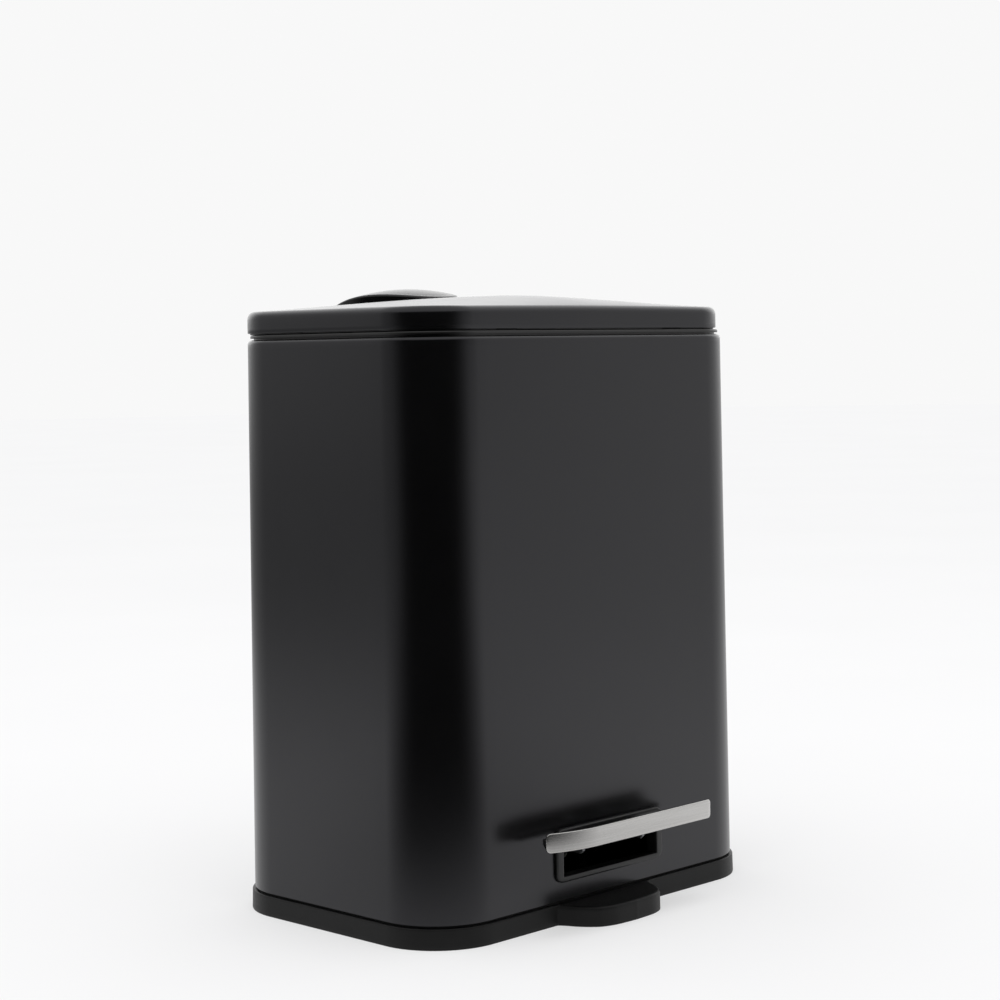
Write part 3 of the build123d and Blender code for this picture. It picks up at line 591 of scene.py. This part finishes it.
W, H, R = 35.7, 11.95, 4.0
sw, sh = 31.6, 9.35
rings = [bezel_ring(W - 0.15, H - 0.15, R - 0.15, 0.02), bezel_ring(W, H, R, 0.2), bezel_ring(W, H, R, 0.9)]
for i in range(1, 7):
    a = pi / 2 * i / 6
    rings.append(bezel_ring(W - 0.8 + 0.8 * cos(a), H - 0.8 + 0.8 * cos(a), R - 0.8 + 0.8 * cos(a), 0.9 + 0.8 * sin(a)))
rings += [bezel_ring(sw + 1.0, sh + 1.0, 1.4, 1.7), bezel_ring(sw + 0.35, sh + 0.35, 0.75, 1.7), bezel_ring(sw + 0.1, sh + 0.1, 0.5, 1.6), bezel_ring(sw, sh, 0.4, 1.35),
          bezel_ring(sw, sh, 0.4, 0.0), bezel_ring(sw, sh, 0.4, -4.3), bezel_ring(sw + 0.2, sh + 0.2, 0.5, -4.5),
          bezel_ring(sw + 1.3, sh + 1.3, 0.5, -4.5), bezel_ring(sw + 1.5, sh + 1.5, 0.4, -4.3), bezel_ring(sw + 1.5, sh + 1.5, 0.4, 0.02)]
place("pedal_bezel_frame", to_bm(*loft(rings, wrap=True)), PLASTIC, "body", ["pedal_bezel"], angle=40)

# ============================================================ stainless band round the tread
band_y, band_z0, band_z1, band_t = -91.5, 37.7, 46.3, 1.2
left_x, left_r, left_bend = -30.0, 60.0, radians(27)      # where each bend starts, its radius and angle
right_x, right_r, right_bend = 44.0, 6.0, radians(40)
arc_l, arc_r, run = left_r * left_bend, right_r * right_bend, right_x - left_x
whole = arc_l + run + arc_r


def band_at(s):
    """Point of the band's face and its outward normal, s along from the left end."""
    if s < arc_l:
        a = s / left_r - left_bend
        return left_x + left_r * sin(a), band_y + left_r * (1 - cos(a)), (sin(a), -cos(a))
    if s > arc_l + run:
        a = (s - arc_l - run) / right_r
        return right_x + right_r * sin(a), band_y + right_r * (1 - cos(a)), (sin(a), -cos(a))
    return left_x + s - arc_l, band_y, (0.0, -1.0)


LEFT_R, RIGHT_R = 2.2, 3.2                    # rounded corners at the strip's ends
tips = [1 - cos(pi / 2 * i / 9) for i in range(10)]
stations = [LEFT_R * q for q in tips] + [LEFT_R + (arc_l - LEFT_R) * i / 30 for i in range(1, 31)]
stations += [arc_l + run * i / 26 for i in range(1, 27)]
stations += [arc_l + run + (arc_r - RIGHT_R) * i / 4 for i in range(1, 4)]
stations += [whole - RIGHT_R * q for q in tips[::-1]]


def strip_section(t, z0, z1, e, n=4):
    """Closed section of a strip, (depth behind its face, height), with rounded long edges."""
    pts = []
    for (c0, c1, a0) in ((e, z0 + e, pi), (t - e, z0 + e, 1.5 * pi), (t - e, z1 - e, 0.0), (e, z1 - e, 0.5 * pi)):
        for i in range(n + 1):
            a = a0 + pi / 2 * i / n
            pts.append((c0 + e * cos(a), c1 + e * sin(a)))
    return pts


sec = strip_section(band_t, band_z0, band_z1, 0.52, 6)
zm, zh = (band_z0 + band_z1) / 2, (band_z1 - band_z0) / 2
rings = []
for s in stations:
    x, y, nrm = band_at(s)
    t, end = min((s, LEFT_R), (whole - s, RIGHT_R))
    cut = end - sqrt(max(end * end - (end - t) ** 2, 0.0)) if t < end else 0.0
    thin = max(0.0, 1 - t / 0.2) * 0.25       # the sheared end is eased
    rings.append([(x - nrm[0] * lerp(d, band_t / 2, thin), y - nrm[1] * lerp(d, band_t / 2, thin), zm + (z - zm) * (1 - cut / zh)) for d, z in sec])
bm = to_bm(*loft(rings, caps=(True, True)))
uv = bm.loops.layers.uv.new("along")
for f in bm.faces:
    for lp in f.loops:
        x, y, z = lp.vert.co
        if x < left_x:
            s = arc_l - left_r * atan2(left_x - x, band_y + left_r - y)
            depth = sqrt((left_x - x) ** 2 + (band_y + left_r - y) ** 2) - left_r
        elif x > right_x:
            s = arc_l + run + right_r * atan2(x - right_x, band_y + right_r - y)
            depth = sqrt((x - right_x) ** 2 + (band_y + right_r - y) ** 2) - right_r
        else:
            s, depth = arc_l + x - left_x, band_y - y
        lp[uv].uv = (s * 0.01, (z - depth * 0.7) * 0.01)
place("pedal_band_strip", bm, STEEL, "pedal", ["pedal_band"], angle=40)

# ============================================================ lid
lid_w, lid_l, lid_r, lid_y, lid_z = 208.9, 133.1, 27.8, 1.4, 263.0
dome_z, dome_h, dome_px, dome_py, lid_round = 272.6, 6.5, 1.45, 2.8, 3.6


def dome(x, y):
    """Height of the lid's top; y from the lid's own centre."""
    return dome_z + dome_h * (1 - (abs(x) / (lid_w / 2)) ** dome_px) * (1 - (abs(y) / (lid_l / 2)) ** dome_py)


def lid_xy(d):
    hw, hl = lid_w / 2 - d, lid_l / 2 - d
    r = lid_r - d if d < 4 else lid_r - 4 + 0.42 * (d - 4)
    r = max(min(r, hl * 0.985), 0.05)
    return rounded_share(hw, hl, r, 24, 21, 9)


def lid_ring(d, z):
    return [(x, y + lid_y, z) for x, y in lid_xy(d)]


def lid_skin(d, down):
    """Ring of the domed skin, d inside the edge that down has already moved in, with the shoulder's roundover."""
    rr = lid_round - down
    out = []
    for (x, y), (xr, yr), (xe, ye) in zip(lid_xy(d + down), lid_xy(lid_round), lid_xy(down)):
        z = dome(x, y)
        if d < rr:
            slope = (dome(xr, yr) - dome(xe, ye)) / rr
            z = min(z, dome(xr, yr) - rr * sqrt(1 + slope * slope) + sqrt(max(rr * rr - (rr - d) ** 2, 0.0)))
        out.append((x, y + lid_y, z - down))
    return out


ds = [0.0, 0.03, 0.1, 0.2, 0.34, 0.5, 0.7, 0.95, 1.25, 1.6, 2.0, 2.4, 2.85, 3.3, 3.8, 4.5, 5.5, 7, 8.5, 10, 12.5, 15, 17.5, 20, 23, 26, 29, 32, 35, 38, 41, 44,
      47, 50, 53, 56, 58.5, 61, 63, 64.6]
rings = [lid_ring(0.3, 263.0), lid_ring(0.08, 263.08), lid_ring(0.0, 263.3), lid_ring(0, 265), lid_ring(0, 267)]
rings += [lid_skin(d, 0.0) for d in ds]
top = to_bm(*loft(rings, caps=(False, True)))
rings = [lid_ring(0.3, 263.0), lid_ring(0.62, 263.02), lid_ring(0.8, 263.2), lid_ring(0.8, 265), lid_ring(0.8, 266.8)]
rings += [lid_skin(d, 0.8) for d in ds]
add_bm(top, to_bm(*loft(rings, caps=(False, True))))
place("lid_shell_skin", top, PAINT, "lid", ["lid_shell"], angle=30)

# ============================================================ hinge cover on the lid
cover_r, cover_y, cover_rear, cover_round = 33.0, 68.0, 81.0, 1.3


def cap(x, y):
    """Height of the cover's top."""
    return 284.0 - 0.0037 * x * x - 0.012 * (y - 54) ** 2


def cover_plan(d):
    """The cover's outline, d inside its sides: a half disc to the front, cut off behind, with fixed stations."""
    r, rear, q = cover_r - d, cover_rear - d, max(5.0 - d, 1.0)
    pts = [(r * cos(pi + pi * i / 132), cover_y + r * sin(pi + pi * i / 132)) for i in range(133)]
    poly = [Vector(v) for v in ((r, cover_y), (r, 73), (26 - d, rear), (d - 26, rear), (-r, 73), (-r, cover_y))]
    for i in range(1, 5):
        a, b = (poly[i] - poly[i - 1]).normalized(), (poly[i + 1] - poly[i]).normalized()
        turn = acos(max(-1.0, min(1.0, a.dot(b))))
        start = poly[i] - a * (q * tan(turn / 2))
        side = Vector((-a.y, a.x))
        for k in range(11):
            t = turn * k / 10
            v = start + a * (q * sin(t)) + side * (q * (1 - cos(t)))
            pts.append((v.x, v.y))
        if i == 2:
            x0 = pts[-1][0]
            pts.extend((lerp(x0, -x0, (k + 1) / 13), rear) for k in range(12))
    return pts


def low_z(x, y):
    """Where the cover meets the lid, a little below the lid's skin."""
    d = lid_y + lid_l / 2 - y
    if d <= 0.05:
        return 264.0
    z = dome(x, y - lid_y)
    if d < lid_round:
        zr, ze = dome(x, lid_l / 2 - lid_round), dome(x, lid_l / 2)
        slope = (zr - ze) / lid_round
        z = min(z, zr - lid_round * sqrt(1 + slope * slope) + sqrt(max(lid_round ** 2 - (lid_round - d) ** 2, 0.0)))
    return z - 0.3


def cover_skin(d, down, rr):
    """Rings of one face of the cover from its lower edge up and over its top."""
    edge, inside = cover_plan(d), cover_plan(d + rr)
    fillet = []
    for (xe, ye), (xr, yr) in zip(edge, inside):
        slope = (cap(xr, yr) - cap(xe, ye)) / rr
        fillet.append(cap(xr, yr) - rr * sqrt(1 + slope * slope))
    low = [(x, y, low_z(x, y)) for x, y in edge]
    out = [low] + [[(x, y, lerp(zl, zf - down, t)) for (x, y, zl), zf in zip(low, fillet)] for t in (0.35, 0.7)]
    for t in (0.0, 0.025, 0.09, 0.18, 0.3, 0.45, 0.63, 0.82, 1.0):
        e = rr * t
        ring = []
        for (x, y), zf in zip(cover_plan(d + e), fillet):
            ring.append((x, y, min(cap(x, y), zf + sqrt(max(rr * rr - (rr - e) ** 2, 0.0))) - down))
        out.append(ring)
    for t in (0.95, 0.88, 0.8, 0.7, 0.6, 0.5, 0.4, 0.3, 0.2, 0.1):
        ring = [(x * t, 60 + (y - 60) * t) for x, y in inside]
        out.append([(x, y, cap(x, y) - down) for x, y in ring])
    return out


outer, inner = cover_skin(0.0, 0.0, cover_round), cover_skin(2.5, 1.8, 0.3)
bm = to_bm(*loft(outer, caps=(False, True)))
add_bm(bm, to_bm(*loft(inner, caps=(False, True))))
add_bm(bm, to_bm(*loft([outer[0], inner[0]])))
place("hinge_cover_moulding", bm, SMOOTH, "lid", ["hinge_cover"], angle=32, merge=1e-3)

# ============================================================ collar in the mouth
C_LONG = [-70, -55, -40, -27.3, -27.0, -20, -10, 0, 10, 20, 27.0, 27.3, 40, 55, 70]
C_SIDE = [-30, -15, 0, 15, 30]


def ring_of(w, l, r, z, shift=0.0):
    return [(x, y, z) for x, y in rounded(w / 2, l / 2, r, N, C_LONG, C_SIDE, C_LONG[::-1], C_SIDE[::-1], cy=shift)]


def out_of(d, z):
    k = taper + d
    return ring_of(body_w - 2 * k, body_l - 2 * k, body_r - k, z)


def mouth_of(d, z):
    k = taper + d
    return ring_of(body_w - 2 * k, body_l - 2 * k - rear_extra, body_r - k, z, -rear_extra / 2)


def lip_of(d, z):
    """Ring of the lip, which stops at the hinge."""
    return [(x, y, min(q, 262.2) if abs(x) < 27.1 and y > 50 else q) for x, y, q in mouth_of(d, z)]


rings = [out_of(2.7, 260.02), out_of(2.7, 260.8), out_of(1.4, 260.8), out_of(1.25, 260.86), out_of(1.2, 261.0), out_of(1.2, 261.5), out_of(1.28, 261.85), out_of(1.48, 262.1), out_of(1.85, 262.2),
         mouth_of(5.62, 262.2), lip_of(5.76, 262.27), lip_of(5.8, 262.5), lip_of(5.8, 265.5), lip_of(5.88, 265.72), lip_of(6.08, 265.8), lip_of(6.52, 265.8),
         lip_of(6.72, 265.72), lip_of(6.8, 265.5), mouth_of(6.8, 261.4), mouth_of(6.8, 250.75), mouth_of(6.95, 250.6), mouth_of(8.9, 250.6),
         mouth_of(9.12, 250.5), mouth_of(9.2, 250.2), mouth_of(9.2, 249.3), mouth_of(9.0, 249.0), mouth_of(5.5, 249.0), mouth_of(5.3, 249.2), mouth_of(5.3, 259.9), mouth_of(5.0, 260.02)]
bm = to_bm(*loft(rings, wrap=True))
prof = [(2.05, 254.0), (3.2, 254.0), (3.4, 254.2), (3.4, 262.0), (3.2, 262.25), (2.4, 262.25), (2.05, 261.9)]
tube = [[(r * cos(2 * pi * i / 40), 63 + r * sin(2 * pi * i / 40), z) for i in range(40)] for r, z in prof]
add_bm(bm, to_bm(*loft(tube, wrap=True)))
collar = place("rim_collar_moulding", bm, PLASTIC, "body", ["rim_collar"], angle=32)
# bore for the rod
carve(collar, revolve([(2.1, 250.0), (2.1, 266.0)], 40, (0, 63, 0), (0, 0, 1)), 32, True)


# ============================================================ pieces that keep the frame's shape, with their edges broken
def softened(node, material, body, width, segs=2, angle=32.0, shade=38.0):
    bm = from_node(node)
    bevel_sharp(bm, width, segs, angle)
    ob = place(node + "_finished", bm, material, body, [node], angle=shade, merge=1e-4)
    for p in ob.data.polygons:
        if len(p.vertices) > 6 and p.area > 6e-5:
            p.use_smooth = False  # large flats keep one normal
    return ob


softened("inner_bucket", BUCKET, "body", 0.3)
softened("bucket_handle", WIRE, "body", 0.3)
softened("lid_liner", PLASTIC, "lid", 0.25)
softened("lid_buffers", RUBBER, "lid", 0.3)
softened("lid_screws", ZINC, "lid", 0.12)
softened("hinge_bracket", PLASTIC, "body", 0.35)
softened("hinge_pin", ZINC, "body", 0.3)
softened("hinge_nuts", ZINC, "body", 0.25)
# the lever takes the darker zinc copy, painted shade inside the slot
softened("pedal_lever", SHADED_DULL_ZINC, "pedal", 0.2)
softened("lever_bushes", NATURAL, "pedal", 0.2)
softened("pedal_plate", PLASTIC, "pedal", 0.4, 3)
softened("pedal_rivets", ZINC, "pedal", 0.12)
softened("lever_axle", ZINC, "body", 0.15)
softened("axle_clips", ZINC, "body", 0.12)
softened("lever_stop", RUBBER, "body", 0.5)
softened("rod_guide", NATURAL, "body", 0.3)
softened("rod_guide_rivets", ZINC, "body", 0.12)
softened("push_rod", ZINC, "rod", 0.2)
softened("rod_foot", NATURAL, "rod", 0.4)
softened("rod_tip", NATURAL, "rod", 0.12)

# ============================================================ hinge screws: pan heads with a cross recess
wall = lambda z: body_l / 2 - inset(z)
screw_y = wall(233) + 3.02
bm = bmesh.new()
for x in (-17, 17):
    prof = [(0.0, -8.4), (1.7, -8.4), (2.0, -8.1), (2.0, 0.0), (3.62, 0.0), (3.8, 0.18), (3.8, 1.1)]
    prof += [(3.8 - 1.3 * (1 - cos(a)), 1.1 + 1.3 * sin(a)) for a in [pi / 2 * i / 8 for i in range(1, 9)]]
    prof += [(0.0, 2.4)]
    head = revolve(prof, 48, (x, screw_y, 236), (0, 1, 0))
    cut = bmesh.new()
    for turn in (0, 1):
        L, T = 2.0, 0.42
        a, b = (L, T) if turn == 0 else (T, L)
        vs = []
        for h, s in ((0.9, 0.55), (2.6, 1.0)):
            for p, q in ((-a, -b), (a, -b), (a, b), (-a, b)):
                ps = p * (s if abs(p) > 1 else 1)
                qs = q * (s if abs(q) > 1 else 1)
                vs.append(cut.verts.new((x + ps, screw_y + h, 236 + qs)))
        for f in ((3, 2, 1, 0), (4, 5, 6, 7), (0, 1, 5, 4), (1, 2, 6, 5), (2, 3, 7, 6), (3, 0, 4, 7)):
            cut.faces.new([vs[i] for i in f])
    bmesh.ops.recalc_face_normals(cut, faces=cut.faces)
    bmesh.ops.recalc_face_normals(head, faces=head.faces)
    tmp = []
    for nm, b in (("head", head), ("cut", cut)):
        me = bpy.data.meshes.new(nm)
        bmesh.ops.remove_doubles(b, verts=b.verts, dist=1e-4)
        b.to_mesh(me)
        b.free()
        o = bpy.data.objects.new(nm, me)
        scene.collection.objects.link(o)
        tmp.append(o)
    md = tmp[0].modifiers.new("recess", "BOOLEAN")
    md.operation, md.object, md.solver, md.use_self = "DIFFERENCE", tmp[1], "EXACT", True
    dg = bpy.context.evaluated_depsgraph_get()
    me = bpy.data.meshes.new_from_object(tmp[0].evaluated_get(dg))
    bm.from_mesh(me)
    bpy.data.meshes.remove(me)
    for o in tmp:
        d = o.data
        bpy.data.objects.remove(o)
        bpy.data.meshes.remove(d)
place("hinge_screws_cross", bm, ZINC, "body", ["hinge_screws"], angle=32)

# ============================================================ floor, light, camera
bm = bmesh.new()
bmesh.ops.create_circle(bm, cap_ends=True, segments=96, radius=9.0)
me = bpy.data.meshes.new("floor")
bm.to_mesh(me)
bm.free()
floor = bpy.data.objects.new("floor", me)
scene.collection.objects.link(floor)
fm, nt, s = nodes_of("pale_floor")
v = coords(nt)
nt.links.new(ramp(nt, noise(nt, v, 3.0, 3), (0.415, 0.415, 0.42), (0.425, 0.425, 0.43)), s.inputs["Base Color"])
nt.links.new(ramp(nt, noise(nt, v, 40, 3), 0.8, 0.9), s.inputs["Roughness"])
s.inputs["Specular IOR Level"].default_value = 0.0
s.inputs["Emission Color"].default_value = (1, 1, 1, 1)
s.inputs["Emission Strength"].default_value = 0.47
me.materials.append(fm)

sun = bpy.data.objects.new("overhead", bpy.data.lights.new("overhead", "SUN"))
sun.data.energy = 0.5
sun.data.angle = radians(25)
scene.collection.objects.link(sun)
sun.visible_glossy = False

soft = bpy.data.objects.new("softbox", bpy.data.lights.new("softbox", "AREA"))
soft.data.shape, soft.data.size = "DISK", 1.9
soft.data.energy = 4.5
soft.location = (-0.15, -0.15, 1.5)
scene.collection.objects.link(soft)
soft.visible_glossy = False

w = bpy.data.worlds.new("studio")
scene.world = w
w.use_nodes = True
bg = next(n for n in w.node_tree.nodes if n.type == "BACKGROUND")
bg.inputs["Color"].default_value = (1.0, 1.0, 1.0, 1)
bg.inputs["Strength"].default_value = 0.94

# ------------------------------------------------------------ what the paint mirrors: a dark side where the camera stands,
# and a surround that is a little darker to the left and right; both show in reflections alone
def radial_stage(name, rings_at, build, glow=0.0):
    """A ring-shaped stage piece about the bin, dark or glowing, with its own see-through share by direction and distance."""
    bm = bmesh.new()
    cols = [[bm.verts.new((r * cos(2 * pi * i / 128), r * sin(2 * pi * i / 128), z)) for r, z in rings_at] for i in range(128)]
    for i in range(128):
        p, q = cols[i], cols[(i + 1) % 128]
        for k in range(len(rings_at) - 1):
            bm.faces.new((p[k], q[k], q[k + 1], p[k + 1]))
    me = bpy.data.meshes.new(name)
    bm.to_mesh(me)
    bm.free()
    ob = bpy.data.objects.new(name, me)
    scene.collection.objects.link(ob)
    m, nt, s = nodes_of(name)
    s.inputs["Base Color"].default_value = (0.006, 0.006, 0.006, 1)
    s.inputs["Roughness"].default_value = 1.0
    s.inputs["Specular IOR Level"].default_value = 0.0
    s.inputs["Emission Color"].default_value = (1, 1, 1, 1)
    s.inputs["Emission Strength"].default_value = glow
    tc = add(nt, "ShaderNodeTexCoord")
    flat = add(nt, "ShaderNodeVectorMath", operation="MULTIPLY")
    nt.links.new(tc.outputs["Object"], flat.inputs[0])
    flat.inputs[1].default_value = (1, 1, 0)
    ln = add(nt, "ShaderNodeVectorMath", operation="LENGTH")
    nt.links.new(flat.outputs["Vector"], ln.inputs[0])
    unit = add(nt, "ShaderNodeVectorMath", operation="NORMALIZE")
    nt.links.new(flat.outputs["Vector"], unit.inputs[0])

    def towards(x, y):
        dt = add(nt, "ShaderNodeVectorMath", operation="DOT_PRODUCT")
        nt.links.new(unit.outputs["Vector"], dt.inputs[0])
        dt.inputs[1].default_value = (x, y, 0)
        return dt.outputs["Value"]

    def soft_ramp(fac, lo, hi, a, b):
        r = add(nt, "ShaderNodeMapRange", interpolation_type="SMOOTHSTEP")
        for key, val in (("From Min", a), ("From Max", b), ("To Min", lo), ("To Max", hi)):
            r.inputs[key].default_value = val
        nt.links.new(fac, r.inputs["Value"])
        return r.outputs["Result"]

    def both(op, a, b):
        mt = add(nt, "ShaderNodeMath", operation=op)
        nt.links.new(a, mt.inputs[0])
        nt.links.new(b, mt.inputs[1])
        return mt.outputs["Value"]

    nt.links.new(build(towards, soft_ramp, both, ln.outputs["Value"]), s.inputs["Alpha"])
    me.materials.append(m)
    ob.visible_camera = ob.visible_diffuse = ob.visible_shadow = False
    ob.visible_transmission = ob.visible_volume_scatter = False
    return ob


CAMX, CAMY = -0.7137, -0.7005                 # from the bin towards the camera
LEFTX, LEFTY = -0.7005, 0.7137


def wall_share(towards, soft_ramp, both, dist):
    front = soft_ramp(towards(CAMX, CAMY), 0.0, 1.0, -0.06, 0.74)
    left = soft_ramp(towards(LEFTX, LEFTY), 0.0, 0.27, 0.05, 0.75)
    right = soft_ramp(towards(-LEFTX, -LEFTY), 0.0, 0.15, 0.05, 0.75)
    shoulder = soft_ramp(towards(CAMX, CAMY), 0.0, 0.40, -0.07, 0.11)
    side = both("MAXIMUM", left, right)
    side = both("SUBTRACT", both("ADD", side, shoulder), both("MULTIPLY", side, shoulder))
    return both("MAXIMUM", front, side)


def floor_share(towards, soft_ramp, both, dist):
    front = both("MULTIPLY", soft_ramp(towards(CAMX, CAMY), 0.0, 1.0, 0.03, 0.88), soft_ramp(dist, 0.0, 1.0, 0.05, 0.40))
    left = both("MULTIPLY", soft_ramp(towards(LEFTX, LEFTY), 0.06, 0.65, 0.0, 0.75), soft_ramp(dist, 0.0, 1.0, 0.32, 1.5))
    right = both("MULTIPLY", soft_ramp(towards(-LEFTX, -LEFTY), 0.04, 0.19, 0.0, 0.75), soft_ramp(dist, 0.0, 1.0, 0.32, 1.5))
    return both("MAXIMUM", front, both("MAXIMUM", left, right))


def back_share(towards, soft_ramp, both, dist):
    return soft_ramp(towards(-CAMX, -CAMY), 0.0, 1.0, 0.45, 0.80)


radial_stage("back_light", [(8.8, 0.5), (8.8, 8.5)], back_share, 1.63)
radial_stage("surround", [(9.0, -0.02), (9.0, 3.6), (8.2, 5.2)], wall_share)
radial_stage("dim_floor", [(0.125, 0.004), (0.3, 0.004), (1.0, 0.004), (3.0, 0.004), (8.99, 0.004)], floor_share)

scene.view_settings.view_transform = "Standard"

yaw, pitch, roll = radians(45.72), radians(-3.74), radians(-0.94)
d = Vector((sin(yaw) * cos(pitch), cos(yaw) * cos(pitch), sin(pitch)))
r = Vector((cos(yaw), -sin(yaw), 0.0))
u = r.cross(d)
r2 = r * cos(roll) + u * sin(roll)
u2 = r * -sin(roll) + u * cos(roll)
cam = bpy.data.objects.new("camera", bpy.data.cameras.new("camera"))
scene.collection.objects.link(cam)
cam.data.sensor_width = 36.0
cam.data.lens = 2234.37 * 36.0 / 1000.0
cam.data.clip_start, cam.data.clip_end = 0.02, 60.0
mat = Matrix((r2, u2, -d)).transposed().to_4x4()
mat.translation = Vector((-746.9, -733.1, 252.1)) * MM
cam.matrix_world = mat
scene.camera = cam
